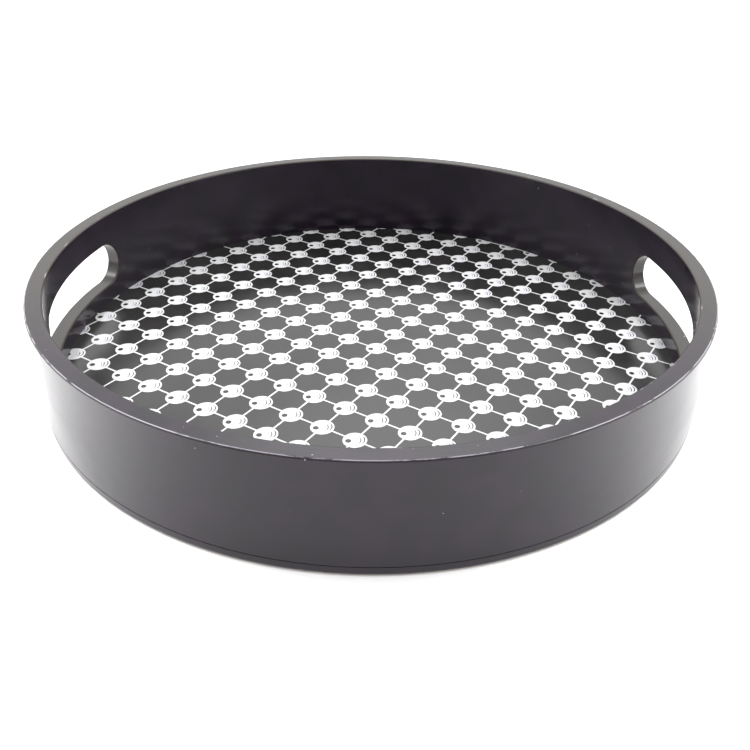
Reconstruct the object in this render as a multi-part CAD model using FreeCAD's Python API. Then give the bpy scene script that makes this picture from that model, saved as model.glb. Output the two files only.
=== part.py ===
import FreeCAD, Part
import math
import os

# A round serving tray. A hoop bent from three plies stands on a round base board, and a printed sheet
# is bonded to the board. Two hand slots go through the hoop, opposite each other on the X axis.
# The origin is at the centre of the underside, where the tray meets the table, and +Z is up. Millimetres.

# Driving dimensions
TRAY_DIAMETER = 350.0
TRAY_HEIGHT = 57.0
PLY_THICKNESS = 2.8
LINING_THICKNESS = 0.5
BOARD_THICKNESS = 4.2
SHEET_THICKNESS = 0.3

# The hand slots have full-radius ends, measured along the outer face of the hoop
SLOT_ANGLE = 38.6  # from end to end, in degrees about the tray's axis
SLOT_HEIGHT = 25.0
GRIP_HEIGHT = 16.8  # the bar of wall left above a slot

# Rounded edges and small setbacks
RIM_ROUND = 1.0
SLOT_ROUND = 0.8
FOOT_ROUND = 1.2
SEAM_DEPTH = 0.3  # the sheet's edge stays this far back, which leaves the joint line round the outside
LINING_SETBACK = 3.0

# The brads that hold the hoop down on the board
BRAD_COUNT = 16
BRAD_LENGTH = 12.0
BRAD_RADIUS = 0.7
BRAD_POINT = 1.6
BRAD_HEAD_RADIUS = 1.3
BRAD_HEAD_THICKNESS = 0.6

# Derived sizes
OUTER_RADIUS = TRAY_DIAMETER / 2
CORE_OUTER_RADIUS = OUTER_RADIUS - PLY_THICKNESS
CORE_INNER_RADIUS = CORE_OUTER_RADIUS - PLY_THICKNESS
INNER_RADIUS = CORE_INNER_RADIUS - PLY_THICKNESS
BOARD_TOP = LINING_THICKNESS + BOARD_THICKNESS
FLOOR_TOP = BOARD_TOP + SHEET_THICKNESS
SLOT_MIDDLE = TRAY_HEIGHT - GRIP_HEIGHT - SLOT_HEIGHT / 2
BRAD_CIRCLE_RADIUS = (CORE_OUTER_RADIUS + CORE_INNER_RADIUS) / 2

# The slot cutter runs this far beyond both faces of the hoop, and edges are matched to this tolerance
CUTTER_REACH = 10.0
TOLERANCE = 0.01


def disc(radius, bottom, top):
    """A solid cylinder about the tray's axis."""
    return Part.makeCylinder(radius, top - bottom, FreeCAD.Vector(0, 0, bottom))


def ring(outer_radius, inner_radius, bottom, top):
    """A hollow cylinder about the tray's axis."""
    return disc(outer_radius, bottom, top).cut(disc(inner_radius, bottom, top))


def slot_outline(distance):
    """A slot's outline on the plane x = distance."""
    half_height = SLOT_HEIGHT / 2
    half_angle = math.radians(SLOT_ANGLE / 2)
    end = distance * math.tan(half_angle)
    shoulder = distance * math.tan(half_angle - half_height / OUTER_RADIUS)

    def point(y, z):
        return FreeCAD.Vector(distance, y, SLOT_MIDDLE + z)

    edges = []
    for side in (-1, 1):
        level = side * half_height
        edges.append(Part.LineSegment(point(-shoulder, level), point(shoulder, level)).toShape())
        tip = point(side * end, 0)
        crown = point(side * shoulder, half_height)
        oval = Part.Ellipse(tip, crown, point(side * shoulder, 0))
        edges.append(Part.ArcOfEllipse(oval, -math.pi / 2, math.pi / 2).toShape())
    return Part.Wire(Part.__sortEdges__(edges))


def slot_cutter():
    """The slot on the +X side. Its outline shrinks towards the tray's axis, so its cut faces are radial."""
    far = OUTER_RADIUS + CUTTER_REACH
    near = INNER_RADIUS * math.cos(math.radians(SLOT_ANGLE / 2)) - CUTTER_REACH
    shrink = FreeCAD.Matrix()
    shrink.A11 = near / far
    shrink.A22 = near / far
    outer_wire = slot_outline(far)
    inner_wire = outer_wire.transformGeometry(shrink)
    return Part.makeLoft([inner_wire, outer_wire], True, True)


def rim_edges(hoop):
    """The two round edges of the hoop's top face."""
    return [e for e in hoop.Edges if all(abs(v.Z - TRAY_HEIGHT) < TOLERANCE for v in e.Vertexes)]


def slot_edges(hoop):
    """The edges where the slots meet the inner and outer faces of the hoop."""
    found = []
    for edge in hoop.Edges:
        middle = edge.valueAt((edge.FirstParameter + edge.LastParameter) / 2)
        points = [middle] + [v.Point for v in edge.Vertexes]
        in_slot = all(abs(p.z - SLOT_MIDDLE) < SLOT_HEIGHT / 2 + TOLERANCE for p in points)
        radii = [math.hypot(p.x, p.y) for p in points]
        on_face = any(all(abs(r - face) < TOLERANCE for r in radii) for face in (OUTER_RADIUS, INNER_RADIUS))
        if in_slot and on_face:
            found.append(edge)
    return found


def make_hoop():
    """The whole wall of the tray, with its slots and rounded edges, before it is divided into plies."""
    hoop = ring(OUTER_RADIUS, INNER_RADIUS, FLOOR_TOP, TRAY_HEIGHT)
    cutter = slot_cutter()
    hoop = hoop.cut(cutter)
    hoop = hoop.cut(cutter.mirror(FreeCAD.Vector(0, 0, 0), FreeCAD.Vector(1, 0, 0)))
    hoop = hoop.makeFillet(RIM_ROUND, rim_edges(hoop))
    return hoop.makeFillet(SLOT_ROUND, slot_edges(hoop))


def make_brads():
    """The brads, head down on the board's underside, as one group of separate solids."""
    middle = BRAD_LENGTH - BRAD_HEAD_THICKNESS - BRAD_POINT
    brads = []
    for index in range(BRAD_COUNT):
        angle = 2 * math.pi * (index + 0.5) / BRAD_COUNT
        x = BRAD_CIRCLE_RADIUS * math.cos(angle)
        y = BRAD_CIRCLE_RADIUS * math.sin(angle)
        shank_bottom = LINING_THICKNESS + BRAD_HEAD_THICKNESS
        head = Part.makeCylinder(BRAD_HEAD_RADIUS, BRAD_HEAD_THICKNESS, FreeCAD.Vector(x, y, LINING_THICKNESS))
        shank = Part.makeCylinder(BRAD_RADIUS, middle, FreeCAD.Vector(x, y, shank_bottom))
        point = Part.makeCone(BRAD_RADIUS, 0, BRAD_POINT, FreeCAD.Vector(x, y, shank_bottom + middle))
        brads.append(head.fuse([shank, point]).removeSplitter())
    return Part.makeCompound(brads)


def make_board():
    """The round base board, with its lower edge rounded where the tray is set down."""
    board = disc(OUTER_RADIUS, LINING_THICKNESS, BOARD_TOP)
    foot = [e for e in board.Edges if all(abs(v.Z - LINING_THICKNESS) < TOLERANCE for v in e.Vertexes)]
    return board.makeFillet(FOOT_ROUND, foot)


def make_parts():
    """Every piece of the tray by its node's name."""
    hoop = make_hoop()
    brads = make_brads()
    outer_shell = ring(OUTER_RADIUS + CUTTER_REACH, CORE_OUTER_RADIUS, FLOOR_TOP, TRAY_HEIGHT)
    core_shell = ring(CORE_OUTER_RADIUS, CORE_INNER_RADIUS, FLOOR_TOP, TRAY_HEIGHT)
    inner_shell = ring(CORE_INNER_RADIUS, INNER_RADIUS - CUTTER_REACH, FLOOR_TOP, TRAY_HEIGHT)
    return {
        "hoop_outer_ply": hoop.common(outer_shell),
        "hoop_core_ply": hoop.common(core_shell).cut(brads),
        "hoop_inner_ply": hoop.common(inner_shell),
        "base_board": make_board().cut(brads),
        "printed_sheet": disc(OUTER_RADIUS - SEAM_DEPTH, BOARD_TOP, FLOOR_TOP).cut(brads),
        "underside_lining": disc(OUTER_RADIUS - LINING_SETBACK, 0, LINING_THICKNESS),
        "base_brads": brads,
    }


os.makedirs("parts", exist_ok=True)
for name, shape in make_parts().items():
    shape.exportStep(os.path.join("parts", name + ".step"))
    print(name, shape.ShapeType, len(shape.Solids), "solid(s)", shape.isValid(), round(shape.Volume), "mm3")
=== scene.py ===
from math import asin, cos, hypot, pi, radians, sin, sqrt

import bmesh
import bpy
from mathutils import Matrix, Vector
from mathutils.geometry import delaunay_2d_cdt


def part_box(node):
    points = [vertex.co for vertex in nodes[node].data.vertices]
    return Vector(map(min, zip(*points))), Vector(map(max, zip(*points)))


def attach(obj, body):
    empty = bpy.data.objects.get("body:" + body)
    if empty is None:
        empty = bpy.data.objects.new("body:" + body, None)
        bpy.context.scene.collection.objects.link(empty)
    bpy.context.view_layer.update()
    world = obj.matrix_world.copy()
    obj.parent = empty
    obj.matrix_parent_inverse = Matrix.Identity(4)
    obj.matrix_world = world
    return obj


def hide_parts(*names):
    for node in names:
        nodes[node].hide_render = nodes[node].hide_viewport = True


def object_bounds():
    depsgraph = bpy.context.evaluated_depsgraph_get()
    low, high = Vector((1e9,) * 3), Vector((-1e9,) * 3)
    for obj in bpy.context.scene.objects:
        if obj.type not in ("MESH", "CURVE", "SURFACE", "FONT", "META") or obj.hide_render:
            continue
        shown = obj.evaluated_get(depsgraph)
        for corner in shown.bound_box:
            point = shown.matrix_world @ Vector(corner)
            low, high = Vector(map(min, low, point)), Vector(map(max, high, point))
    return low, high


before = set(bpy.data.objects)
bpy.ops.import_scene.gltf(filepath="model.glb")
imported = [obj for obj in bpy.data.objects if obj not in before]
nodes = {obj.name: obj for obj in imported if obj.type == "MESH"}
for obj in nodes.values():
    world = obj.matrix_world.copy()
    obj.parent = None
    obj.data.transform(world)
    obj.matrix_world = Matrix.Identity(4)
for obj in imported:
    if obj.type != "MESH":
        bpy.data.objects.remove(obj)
cad_low, cad_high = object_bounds()

# The tray, from the frame, in metres.
MM = 0.001
RADIUS = (cad_high.x - cad_low.x) / 2
HEIGHT = cad_high.z
FLOOR_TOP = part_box("printed_sheet")[1].z
BOARD_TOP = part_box("base_board")[1].z
BOARD_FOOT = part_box("base_board")[0].z

# The foot's rounding, as in the CAD, and how finely the turned board draws it.
FOOT_ROUND = 1.2 * MM
FOOT_STEPS = 8  # from the board's side to its underside
BOARD_STEPS = 512  # round the board

# The camera stands in front of the tray, turned a little off the line across the two slots.
VIEW_TURN = radians(1.5)
VIEW_DISTANCE = 2.27647 * RADIUS
VIEW_HEIGHT = 1.34419 * RADIUS
VIEW_PITCH = 0.566602
VIEW_YAW = 0.006041
VIEW_ROLL = 0.012684
SENSOR_WIDTH = 36.0
LENS = 1.077284 * SENSOR_WIDTH

# The printed pattern: discs on an oblong net, joined to their neighbours by thin links.
PITCH_U = 18.85 * MM
PITCH_V = 19.22 * MM
NET_ANGLE = radians(-32.95) + VIEW_TURN
NET_CENTRE = (3.16 * MM, -8.72 * MM)
NET_STRETCH = 0.111  # per metre: how the print shrinks towards +X and grows towards -X
DISC_RADIUS = 5.85 * MM
LINK_WIDTH = 0.95 * MM
DOT_RADIUS = 1.45 * MM
DOT_OFFSET = (-3.1 * MM, -0.55 * MM)
INK_THICKNESS = 0.04 * MM
PRINT_RADIUS = RADIUS - 4.0 * MM

# Each crescent gap in a disc: centre and radius of its arc, half its sweep, half its width, and
# the direction of its middle.
CRESCENTS = (
    ((0.50 * MM, 0.40 * MM), 4.15 * MM, radians(50), 0.30 * MM, radians(-2)),
    ((-1.15 * MM, -0.05 * MM), 4.00 * MM, radians(43), 0.25 * MM, radians(-2)),
    ((-2.60 * MM, 0.10 * MM), 4.00 * MM, radians(34), 0.11 * MM, radians(4)),
)
ARC_STEP = radians(9)
CRESCENT_STEPS = 8
SAME_POINT = 1e-7  # corners of one cell closer than this are one corner
WELD = 0.01 * MM  # and so are corners of neighbouring cells closer than this

# Colours, in linear light. Where a material drifts between two, the first is the darker.
STUDIO_WHITE = (0.90, 0.90, 0.90, 1.0)
LACQUER = ((0.0026, 0.0006, 0.0046), (0.0096, 0.0024, 0.0122))
# A painted warm reflection tint, for the lacquer's upward faces away from the front.
LACQUER_REFLECTION_TINT = (0.0090, 0.0066, 0.0036)
LACQUER_WORN = (0.034, 0.022, 0.012)
# A painted highlight, broken up like rubbed lacquer, for the rim's edges.
LACQUER_HIGHLIGHT_AND_RUB = (0.34, 0.32, 0.37)
LACQUER_NICKED = (0.42, 0.40, 0.41)
BARE_BOARD = (0.120, 0.066, 0.036)
SHEET = ((0.0104, 0.0099, 0.0096), (0.0180, 0.0170, 0.0166))
SHEET_SCRATCH = (0.25, 0.25, 0.26)
INK = ((0.57, 0.575, 0.58), (0.61, 0.6125, 0.615))
INK_VIOLET = (0.50, 0.49, 0.62)
FELT = ((0.010, 0.010, 0.011), (0.040, 0.039, 0.042))
FELT_NAP = (0.048, 0.046, 0.048)
FELT_LINT = (0.30, 0.29, 0.28)
STEEL_BRIGHT = (0.60, 0.59, 0.57)
STEEL_DULL = (0.40, 0.38, 0.36)
GLOSS_IOR = 1.5

# The studio: its floor, and each softbox with its place, target, width, power and spread of beam.
STUDIO_HALF = 6.0
STUDIO_GAP = 0.2 * MM
SIDE_SPREAD = radians(80)
SOFTBOXES = (
    ("softbox_back", (0.0, 0.80, 0.98), (0.0, 0.0, 0.0), 0.72, 1.9, pi),
    ("softbox_left", (-0.38, -0.08, 0.40), (-0.33, -0.08, 0.0), 0.30, 1.05, SIDE_SPREAD),
    ("softbox_right", (0.38, -0.08, 0.40), (0.33, -0.08, 0.0), 0.30, 0.80, SIDE_SPREAD),
)


def turned(point, angle):
    """A point in the plane, turned about the origin."""
    x, y = point
    return (x * cos(angle) - y * sin(angle), x * sin(angle) + y * cos(angle))


def add_object(name, mesh, material):
    """A new object with this mesh, in the scene, all in one material."""
    made = bpy.data.objects.new(name, mesh)
    bpy.context.scene.collection.objects.link(made)
    made.data.materials.append(material)
    return made


# ---------------------------------------------------------------- camera and stage


def add_camera():
    """The photograph's viewpoint, fitted to the rim, the foot, the slots and the print."""
    camera = bpy.data.objects.new("camera", bpy.data.cameras.new("camera"))
    bpy.context.scene.collection.objects.link(camera)
    camera.data.sensor_width = SENSOR_WIDTH
    camera.data.lens = LENS
    heading = VIEW_YAW - VIEW_TURN
    forward = Vector((sin(heading) * cos(VIEW_PITCH), cos(heading) * cos(VIEW_PITCH), -sin(VIEW_PITCH)))
    level = Vector((cos(heading), -sin(heading), 0.0))
    upright = level.cross(forward)
    right = cos(VIEW_ROLL) * level + sin(VIEW_ROLL) * upright
    up = cos(VIEW_ROLL) * upright - sin(VIEW_ROLL) * level
    placed = Matrix((right, up, -forward)).transposed().to_4x4()
    placed.translation = (VIEW_DISTANCE * sin(VIEW_TURN), -VIEW_DISTANCE * cos(VIEW_TURN), VIEW_HEIGHT)
    camera.matrix_world = placed
    bpy.context.scene.camera = camera


def add_floor():
    """A plain sheet, just below the tray so that the two never share a plane."""
    mesh = bpy.data.meshes.new("studio_floor")
    half = STUDIO_HALF
    low = cad_low.z - STUDIO_GAP
    corners = [(-half, -half, low), (half, -half, low), (half, half, low), (-half, half, low)]
    mesh.from_pydata(corners, [], [(0, 1, 2, 3)])
    add_object("studio_floor", mesh, floor_material())


def add_softbox(name, place, target, size, power, spread):
    """A round softbox, aimed at the target. A spread below a half turn narrows its beam."""
    light = bpy.data.objects.new(name, bpy.data.lights.new(name, "AREA"))
    light.data.shape = "DISK"
    light.data.size = size
    light.data.spread = spread
    light.data.energy = power
    light.location = place
    light.rotation_euler = (Vector(target) - Vector(place)).to_track_quat("-Z", "Y").to_euler()
    bpy.context.scene.collection.objects.link(light)


# ---------------------------------------------------------------- node helpers


class Nodes:
    """A small writer of node trees: every call adds one node and returns it or its output."""

    def __init__(self, tree):
        self.tree = tree
        tree.nodes.clear()

    def add(self, kind, inputs=None, **settings):
        node = self.tree.nodes.new(kind)
        for name, value in settings.items():
            setattr(node, name, value)
        for key, value in (inputs or {}).items():
            socket = node.inputs[key]
            if isinstance(value, bpy.types.NodeSocket):
                self.tree.links.new(value, socket)
            else:
                socket.default_value = value
        return node

    def math(self, operation, a, b=0.0, c=0.0, clamp=False):
        node = self.add("ShaderNodeMath", {0: a, 1: b, 2: c}, operation=operation)
        node.use_clamp = clamp
        return node.outputs[0]

    def times(self, product, *factors):
        """The product of two or more values."""
        for factor in factors:
            product = self.math("MULTIPLY", product, factor)
        return product

    def place(self):
        """The point on the tray, in metres."""
        return self.add("ShaderNodeTexCoord").outputs["Object"]

    def facing_out(self, place):
        """How far the surface faces straight out from, or in towards, the hoop's axis: 0 to 1."""
        x, y, _ = self.split(place)
        outward = self.join(x, y, 0.0)
        unit = self.add("ShaderNodeVectorMath", {0: outward}, operation="NORMALIZE").outputs[0]
        normal = self.add("ShaderNodeNewGeometry").outputs["Normal"]
        dot = self.add("ShaderNodeVectorMath", {0: unit, 1: normal}, operation="DOT_PRODUCT")
        return self.times(dot.outputs["Value"], dot.outputs["Value"])

    def split(self, vector):
        return self.add("ShaderNodeSeparateXYZ", {0: vector}).outputs

    def join(self, x, y, z):
        return self.add("ShaderNodeCombineXYZ", {0: x, 1: y, 2: z}).outputs[0]

    def noise(self, vector, size, detail=3.0, rough=0.5, twist=0.0):
        """Noise whose lumps are about this size, from 0 to 1 round one half."""
        inputs = {"Vector": vector, "Scale": 1 / size, "Detail": detail, "Roughness": rough}
        return self.add("ShaderNodeTexNoise", {**inputs, "Distortion": twist}).outputs["Fac"]

    def ramp(self, value, low, high, to_low=0.0, to_high=1.0, kind="SMOOTHSTEP"):
        """Runs from to_low to to_high while the value runs from low to high, and no further."""
        inputs = {"Value": value, "From Min": low, "From Max": high}
        inputs |= {"To Min": to_low, "To Max": to_high}
        return self.add("ShaderNodeMapRange", inputs, interpolation_type=kind).outputs[0]

    def mix(self, amount, a, b):
        node = self.add("ShaderNodeMix", {"Factor": amount}, data_type="RGBA")
        for name, value in (("A", a), ("B", b)):
            socket = next(s for s in node.inputs if s.name == name and s.type == "RGBA")
            if isinstance(value, bpy.types.NodeSocket):
                self.tree.links.new(value, socket)
            else:
                socket.default_value = (*value, 1.0)
        return next(s for s in node.outputs if s.type == "RGBA")

    def bump(self, height, distance, strength=1.0, normal=None):
        inputs = {"Height": height, "Distance": distance, "Strength": strength}
        if normal is not None:
            inputs["Normal"] = normal
        return self.add("ShaderNodeBump", inputs).outputs[0]

    def finish(self, colour, roughness, normal, **constants):
        shader = self.add("ShaderNodeBsdfPrincipled", {"Base Color": colour, "Roughness": roughness})
        for name, value in constants.items():
            shader.inputs[name.replace("_", " ")].default_value = value
        if normal is not None:
            self.tree.links.new(normal, shader.inputs["Normal"])
        self.add("ShaderNodeOutputMaterial", {"Surface": shader.outputs[0]})


def new_material(name):
    material = bpy.data.materials.new(name)
    material.use_nodes = True
    return material, Nodes(material.node_tree)


# ---------------------------------------------------------------- materials


def floor_material():
    material, n = new_material("studio_white")
    diffuse = n.add("ShaderNodeBsdfDiffuse", {"Color": STUDIO_WHITE})
    n.add("ShaderNodeOutputMaterial", {"Surface": diffuse.outputs[0]})
    return material


def around_the_tray(n, place):
    """Coordinates that follow the hoop: metres round it, metres out from its axis, metres up."""
    x, y, z = n.split(place)
    out = n.math("SQRT", n.math("ADD", n.times(x, x), n.times(y, y)))
    along = n.times(n.math("ARCTAN2", y, x), RADIUS)
    return along, out, z


def lacquer_material():
    """Cloudy black lacquer brushed round the hoop: orange peel, pale nicks and rubs, a painted rim
    highlight and a painted warm reflection tint.
    """
    material, n = new_material("black_lacquer_worn_and_painted_light")
    place = n.place()
    along, out, up = around_the_tray(n, place)
    streak_place = n.join(n.times(along, 0.06), out, up)
    cloud = n.noise(place, 34 * MM, 4.0, 0.6)
    mottle = n.noise(place, 15 * MM, 5.0, 0.62)
    streaks = n.noise(streak_place, 0.9 * MM, 3.0, 0.6)
    peel = n.noise(place, 2.6 * MM, 3.0, 0.55)
    grain = n.noise(place, 0.5 * MM, 2.0, 0.6)

    colour = n.mix(n.ramp(mottle, 0.36, 0.64), *LACQUER)

    # Painted reflection tint: faces that look out or in stay a little violet, and the others are
    # painted warmer, except at the front.
    facing = n.facing_out(place)
    y = n.split(place)[1]
    painted_reflection_tint = n.times(n.math("SUBTRACT", 1.0, facing), n.ramp(y, -130 * MM, -20 * MM))
    colour = n.mix(painted_reflection_tint, colour, LACQUER_REFLECTION_TINT)

    # Rounded edges face neither straight out nor straight up. They have worn brown, least at the front.
    edge = n.math("MULTIPLY", n.times(facing, n.math("SUBTRACT", 1.0, facing)), 4.0, clamp=True)
    wear = n.noise(n.join(n.times(along, 0.3), out, up), 6.0 * MM, 4.0, 0.65)
    olive = n.times(edge, n.ramp(wear, 0.30, 0.60, 0.35, 1.0))
    olive = n.times(olive, n.ramp(y, -150 * MM, -60 * MM, 0.15, 1.0))
    colour = n.mix(olive, colour, LACQUER_WORN)

    # Painted highlight and rubbed lacquer: a pale line runs along the rim's outer edge, with a few
    # patches on its inner edge.
    on_rim = n.ramp(up, HEIGHT - 1.6 * MM, HEIGHT - 1.1 * MM)
    line = n.times(n.ramp(facing, 0.01, 0.06), n.ramp(facing, 0.22, 0.45, 1.0, 0.0))
    outer = n.times(n.ramp(out, RADIUS - 3 * MM, RADIUS - 2 * MM), n.ramp(wear, 0.40, 0.50))
    inner = n.ramp(out, RADIUS - 5 * MM, RADIUS - 4 * MM, 1.0, 0.0)
    inner = n.times(inner, n.ramp(wear, 0.62, 0.66))
    highlight_and_rub = n.times(line, on_rim, n.math("ADD", outer, inner))
    colour = n.mix(n.times(highlight_and_rub, 0.75), colour, LACQUER_HIGHLIGHT_AND_RUB)

    # Nicks: small bare spots, thicker along the rim's edges.
    spots = n.noise(place, 1.6 * MM, 1.0, 0.4)
    where = n.noise(place, 21 * MM, 2.0, 0.5)
    near_rim = n.ramp(up, HEIGHT - 2.2 * MM, HEIGHT - 0.2 * MM)
    limit = n.math("SUBTRACT", n.ramp(where, 0.45, 0.70, 0.87, 0.78), n.times(near_rim, 0.03))
    nick = n.ramp(n.math("SUBTRACT", spots, limit), 0.0, 0.02)
    colour = n.mix(n.times(nick, 0.8), colour, LACQUER_NICKED)

    # The foot's corner has rubbed through to brown board in places.
    rub = n.noise(n.join(n.times(along, 0.25), out, up), 5.0 * MM, 3.0, 0.6)
    low = n.ramp(up, BOARD_FOOT + 0.35 * MM, BOARD_FOOT + 0.95 * MM, 1.0, 0.0)
    side = n.ramp(out, RADIUS - 2.2 * MM, RADIUS - 0.9 * MM)
    bare = n.times(low, side, n.ramp(rub, 0.34, 0.50))
    colour = n.mix(bare, colour, BARE_BOARD)

    roughness = n.ramp(cloud, 0.30, 0.72, 0.19, 0.26, "LINEAR")
    roughness = n.math("ADD", roughness, n.times(n.math("SUBTRACT", streaks, 0.5), 0.08))
    worn = n.math("MAXIMUM", n.math("MAXIMUM", nick, bare), olive)
    roughness = n.math("ADD", roughness, n.times(worn, 0.3), clamp=True)
    normal = n.bump(cloud, 0.30 * MM, 0.5)
    normal = n.bump(peel, 0.020 * MM, 0.6, normal)
    normal = n.bump(streaks, 0.004 * MM, 0.5, normal)
    normal = n.bump(grain, 0.002 * MM, 0.5, normal)
    n.finish(colour, roughness, normal, IOR=GLOSS_IOR)
    return material


def sheet_material():
    """The black of the printed laminate, with fine dust and hairline scratches."""
    material, n = new_material("printed_sheet_black")
    place = n.place()
    cloud = n.noise(place, 28 * MM, 3.0, 0.55)
    grain = n.noise(place, 0.45 * MM, 2.0, 0.6)
    x, y, z = n.split(place)
    slant = n.join(n.math("ADD", n.times(x, 0.05), n.times(y, 0.02)), y, z)
    hairs = n.noise(slant, 1.1 * MM, 2.0, 0.6, 0.4)
    hair = n.ramp(hairs, 0.74, 0.80)
    colour = n.mix(n.ramp(cloud, 0.35, 0.70), *SHEET)
    colour = n.mix(n.times(hair, 0.10), colour, SHEET_SCRATCH)
    roughness = n.ramp(cloud, 0.30, 0.70, 0.17, 0.25, "LINEAR")
    roughness = n.math("ADD", roughness, n.times(n.math("SUBTRACT", grain, 0.5), 0.08))
    normal = n.bump(cloud, 0.06 * MM, 0.4)
    normal = n.bump(grain, 0.002 * MM, 0.5, normal)
    n.finish(colour, roughness, normal, IOR=GLOSS_IOR)
    return material


def ink_material():
    """White screen ink, with the faint violet shading printed across the right of each disc."""
    material, n = new_material("white_ink")
    place = n.place()
    x, y, _ = n.split(place)
    x = n.math("SUBTRACT", x, NET_CENTRE[0])
    y = n.math("SUBTRACT", y, NET_CENTRE[1])
    stretch = n.math("SUBTRACT", 1.0, n.times(x, NET_STRETCH))
    x = n.math("DIVIDE", x, stretch)
    y = n.math("DIVIDE", y, stretch)

    def offset_in_cell(angle, pitch):
        across = n.math("ADD", n.times(x, cos(angle)), n.times(y, sin(angle)))
        turns = n.math("DIVIDE", across, pitch)
        return n.times(n.math("SUBTRACT", turns, n.math("ROUND", turns)), pitch)

    u = offset_in_cell(NET_ANGLE, PITCH_U)
    v = offset_in_cell(NET_ANGLE + pi / 2, PITCH_V)
    local = NET_ANGLE - VIEW_TURN
    right = n.math("SUBTRACT", n.times(u, cos(local)), n.times(v, sin(local)))
    above = n.math("ADD", n.times(u, sin(local)), n.times(v, cos(local)))
    band = n.ramp(right, -0.5 * MM, 1.6 * MM)
    band = n.times(band, n.ramp(right, 3.4 * MM, 4.6 * MM, 1.0, 0.0))
    tall = n.ramp(n.math("ABSOLUTE", above), 2.0 * MM, 4.4 * MM, 1.0, 0.0)
    hatch = n.noise(n.join(n.times(right, 2.2), above, 0.0), 1.0 * MM, 2.0, 0.6)
    shade = n.times(band, tall, n.ramp(hatch, 0.35, 0.62))
    tone = n.noise(place, 9 * MM, 2.0, 0.5)
    colour = n.mix(n.ramp(tone, 0.3, 0.7), *INK)
    colour = n.mix(n.times(shade, 0.55), colour, INK_VIOLET)
    grain = n.noise(place, 0.35 * MM, 2.0, 0.6)
    roughness = n.ramp(grain, 0.3, 0.7, 0.30, 0.42, "LINEAR")
    normal = n.bump(grain, 0.004 * MM, 0.5)
    n.finish(colour, roughness, normal, IOR=GLOSS_IOR)
    return material


def felt_material():
    """Pressed black felt: matted short fibres, lint and a slightly uneven nap."""
    material, n = new_material("black_felt")
    place = n.place()
    x, y, z = n.split(place)
    fibres_a = n.noise(n.join(n.times(x, 0.22), y, z), 0.55 * MM, 3.0, 0.65, 1.2)
    fibres_b = n.noise(n.join(x, n.times(y, 0.22), z), 0.50 * MM, 3.0, 0.65, 1.2)
    nap = n.noise(place, 16 * MM, 3.0, 0.55)
    lint = n.ramp(n.noise(place, 1.1 * MM, 2.0, 0.5, 2.0), 0.74, 0.79)
    fibres = n.math("MAXIMUM", fibres_a, fibres_b)
    colour = n.mix(n.ramp(fibres, 0.35, 0.75), *FELT)
    colour = n.mix(n.times(n.ramp(nap, 0.35, 0.7), 0.35), colour, FELT_NAP)
    colour = n.mix(n.times(lint, 0.35), colour, FELT_LINT)
    roughness = n.ramp(nap, 0.3, 0.7, 0.86, 0.97, "LINEAR")
    normal = n.bump(fibres, 0.16 * MM, 0.8)
    normal = n.bump(nap, 0.2 * MM, 0.4, normal)
    n.finish(colour, roughness, normal, Sheen_Weight=0.35, Sheen_Roughness=0.5)
    return material


def steel_material():
    """Bright drawn wire, scored along its length, dulled in patches."""
    material, n = new_material("bright_wire")
    place = n.place()
    x, y, z = n.split(place)
    drawn = n.noise(n.join(x, y, n.times(z, 0.04)), 0.12 * MM, 2.0, 0.6)
    dull = n.noise(place, 1.4 * MM, 3.0, 0.6)
    colour = n.mix(n.ramp(dull, 0.4, 0.7), STEEL_BRIGHT, STEEL_DULL)
    roughness = n.ramp(dull, 0.3, 0.7, 0.24, 0.45, "LINEAR")
    normal = n.bump(drawn, 0.01 * MM, 0.6)
    n.finish(colour, roughness, normal, Metallic=1.0)
    return material


# ---------------------------------------------------------------- the printed film


def arc(centre, radius, start, end):
    """Points along an arc, both ends included."""
    steps = max(2, round(abs(end - start) / ARC_STEP))
    angles = [start + (end - start) * i / steps for i in range(steps + 1)]
    return [(centre[0] + radius * cos(a), centre[1] + radius * sin(a)) for a in angles]


def cell_outline():
    """A disc with half of each of its four links, counter-clockwise."""
    half = LINK_WIDTH / 2
    root = asin(half / DISC_RADIUS)
    outline = []
    for k, pitch in enumerate((PITCH_U, PITCH_V, PITCH_U, PITCH_V)):
        angle = NET_ANGLE + k * pi / 2
        outline.append(turned((pitch / 2, -half), angle))
        outline.append(turned((pitch / 2, half), angle))
        outline += arc((0.0, 0.0), DISC_RADIUS, angle + root, angle + pi / 2 - root)
    return outline


def dot_outline():
    centre = turned(DOT_OFFSET, VIEW_TURN)
    return arc(centre, DOT_RADIUS, 2 * pi, 0.0)[:-1]


def crescent_outline(centre, radius, sweep, width, middle):
    """A gap that is widest in the middle of its arc and runs out to a point at each end."""
    centre = turned(centre, VIEW_TURN)
    outer, inner = [], []
    for i in range(CRESCENT_STEPS + 1):
        part = 2 * i / CRESCENT_STEPS - 1
        angle = middle + VIEW_TURN + sweep * part
        swell = width * sqrt(max(0.0, 1 - part * part))
        far, near = radius + swell, radius - swell
        outer.append((centre[0] + far * cos(angle), centre[1] + far * sin(angle)))
        if 0 < i < CRESCENT_STEPS:
            inner.append((centre[0] + near * cos(angle), centre[1] + near * sin(angle)))
    return outer + inner[::-1]


def mean_point(points):
    count = len(points)
    return (sum(p[0] for p in points) / count, sum(p[1] for p in points) / count)


def encloses(loop, point):
    """Is the point inside the loop?"""
    x, y = point
    inside = False
    for (ax, ay), (bx, by) in zip(loop, loop[1:] + loop[:1]):
        if (ay > y) != (by > y) and x < ax + (y - ay) * (bx - ax) / (by - ay):
            inside = not inside
    return inside


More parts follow.
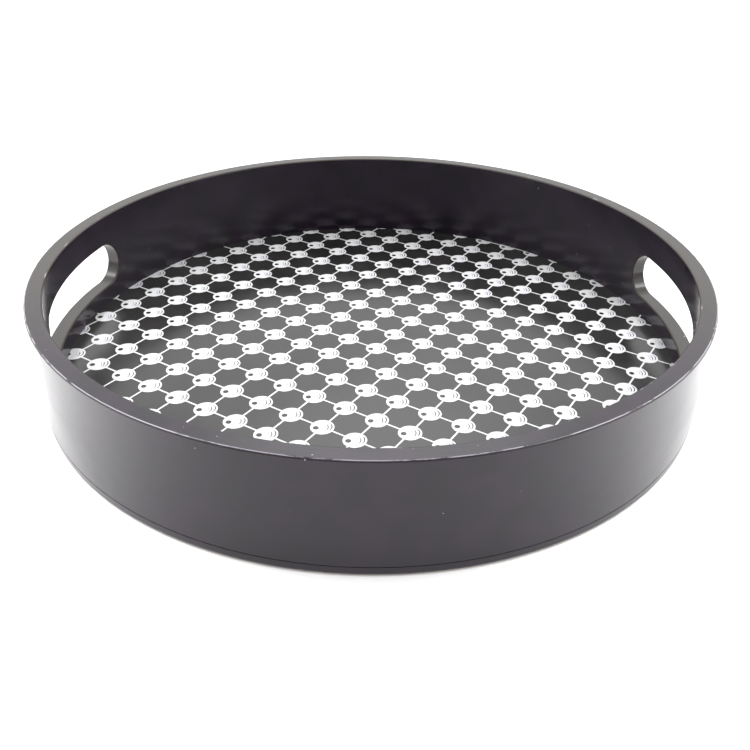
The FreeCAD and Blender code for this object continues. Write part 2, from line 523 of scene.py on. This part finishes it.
def cell_faces():
    """The flat faces of one cell, with its dot and crescents left open."""
    points, edges = [], []
    holes = [dot_outline()] + [crescent_outline(*c) for c in CRESCENTS]
    for loop in [cell_outline()] + holes:
        first = len(points)
        points += [Vector(p) for p in loop]
        edges += [(first + i, first + (i + 1) % len(loop)) for i in range(len(loop))]
    inside_only = 1
    corners, _, triangles, *_ = delaunay_2d_cdt(points, edges, [], inside_only, SAME_POINT)

    def is_solid(triangle):
        point = mean_point([corners[i] for i in triangle])
        return not any(encloses(hole, point) for hole in holes)

    return corners, [triangle for triangle in triangles if is_solid(triangle)]


def net_cells():
    """The middle of every cell that reaches into the printed circle, before the stretch."""
    reach = PRINT_RADIUS + PITCH_V / 2
    span = int(reach / min(PITCH_U, PITCH_V)) + 2
    cells = []
    for i in range(-span, span + 1):
        for j in range(-span, span + 1):
            cell = turned((i * PITCH_U, j * PITCH_V), NET_ANGLE)
            if hypot(*stretched(cell)) < reach:
                cells.append(cell)
    return cells


def stretched(point):
    """A point of the even net, where the print has it on the tray."""
    x, y = point
    scale = 1 / (1 + NET_STRETCH * x)
    return (NET_CENTRE[0] + x * scale, NET_CENTRE[1] + y * scale)


def in_fixed_order(net):
    """A net's corners and faces, sorted, since bmesh's operators leave their order to chance."""
    verts = sorted(net.verts, key=lambda vert: vert.co[:])
    for rank, vert in enumerate(verts):
        vert.index = rank
    faces = [[vert.index for vert in face.verts] for face in net.faces]
    return [vert.co[:] for vert in verts], sorted(faces, key=sorted)


def add_print():
    """The whole net as one thin film of ink, cut off at the printed circle."""
    points, faces = cell_faces()
    net = bmesh.new()
    for cell in net_cells():
        placed = [stretched((cell[0] + p.x, cell[1] + p.y)) for p in points]
        corners = [net.verts.new((*p, FLOOR_TOP)) for p in placed]
        flats = [net.faces.new([corners[i] for i in face]) for face in faces]
        cell = stretched(cell)
        distance = hypot(*cell)
        if distance + PITCH_V / 2 > PRINT_RADIUS:
            edges = dict.fromkeys(edge for flat in flats for edge in flat.edges)
            outward = Vector((cell[0] / distance, cell[1] / distance, 0.0))
            bmesh.ops.bisect_plane(
                net,
                geom=corners + flats + list(edges),
                plane_co=outward * PRINT_RADIUS,
                plane_no=outward,
                clear_outer=True,
            )
    bmesh.ops.remove_doubles(net, verts=net.verts, dist=WELD)
    loose = [v for v in net.verts if not v.link_faces]
    bmesh.ops.delete(net, geom=loose, context="VERTS")
    raised = bmesh.ops.extrude_face_region(net, geom=list(net.faces), use_keep_orig=True)
    top = [v for v in raised["geom"] if isinstance(v, bmesh.types.BMVert)]
    bmesh.ops.translate(net, verts=top, vec=(0.0, 0.0, INK_THICKNESS))
    bmesh.ops.recalc_face_normals(net, faces=net.faces)
    mesh = bpy.data.meshes.new("printed_net_ink")
    corners, flats = in_fixed_order(net)
    mesh.from_pydata(corners, [], flats)
    net.free()
    film = add_object("printed_net_ink", mesh, ink_material())
    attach(film, "root")


def add_board(lacquer):
    """The base board, its rounded foot in finer steps than the CAD mesh, whose facets show."""
    profile = [(RADIUS, BOARD_TOP)]
    for step in range(FOOT_STEPS + 1):
        angle = pi / 2 * step / FOOT_STEPS
        out = RADIUS - FOOT_ROUND * (1.0 - cos(angle))
        profile.append((out, BOARD_FOOT + FOOT_ROUND * (1.0 - sin(angle))))
    board = bmesh.new()
    turns = [2 * pi * step / BOARD_STEPS for step in range(BOARD_STEPS)]
    rings = [[board.verts.new((r * cos(t), r * sin(t), z)) for t in turns] for r, z in profile]
    for upper, lower in zip(rings, rings[1:]):
        for i in range(BOARD_STEPS):
            face = board.faces.new((lower[i - 1], lower[i], upper[i], upper[i - 1]))
            face.smooth = True
    board.faces.new(rings[0])
    board.faces.new(rings[-1][::-1])
    # The top edge stays sharp, and the rounded foot shades smoothly.
    top_edge = set(rings[0])
    for edge in board.edges:
        edge.smooth = not top_edge.issuperset(edge.verts)
    mesh = bpy.data.meshes.new("base_board_turned")
    board.to_mesh(mesh)
    board.free()
    piece = add_object("base_board_turned", mesh, lacquer)
    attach(piece, "root")
    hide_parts("base_board")


# ---------------------------------------------------------------- light and finish


def light_the_studio():
    """A soft white sky: brighter at the sides, dimmer low down, overhead and behind the camera."""
    world = bpy.data.worlds.new("studio_light")
    bpy.context.scene.world = world
    world.use_nodes = True
    n = Nodes(world.node_tree)
    x, y, z = n.split(n.add("ShaderNodeTexCoord").outputs["Generated"])
    strength = n.ramp(z, 0.20, 0.55, 1.30, 1.90)
    strength = n.times(strength, n.ramp(z, 0.65, 0.95, 1.0, 0.8))
    strength = n.times(strength, n.ramp(n.math("ABSOLUTE", x), 0.3, 0.9, 1.0, 1.6))
    strength = n.times(strength, n.ramp(y, -0.9, -0.1, 0.45, 1.0))
    sky = n.add("ShaderNodeBackground", {"Color": (1.0, 1.0, 1.0, 1.0), "Strength": strength})
    n.add("ShaderNodeOutputWorld", {"Surface": sky.outputs[0]})


def dress(name, material):
    """Gives a whole CAD node one material."""
    mesh = nodes[name].data
    for slot in range(len(mesh.materials)):
        mesh.materials[slot] = material
    if not mesh.materials:
        mesh.materials.append(material)


add_camera()
add_floor()
light_the_studio()
for softbox in SOFTBOXES:
    add_softbox(*softbox)
bpy.context.scene.view_settings.view_transform = "Standard"

lacquer = lacquer_material()
for part in ("hoop_outer_ply", "hoop_core_ply", "hoop_inner_ply", "base_board"):
    dress(part, lacquer)
add_board(lacquer)
dress("printed_sheet", sheet_material())
dress("underside_lining", felt_material())
dress("base_brads", steel_material())
add_print()
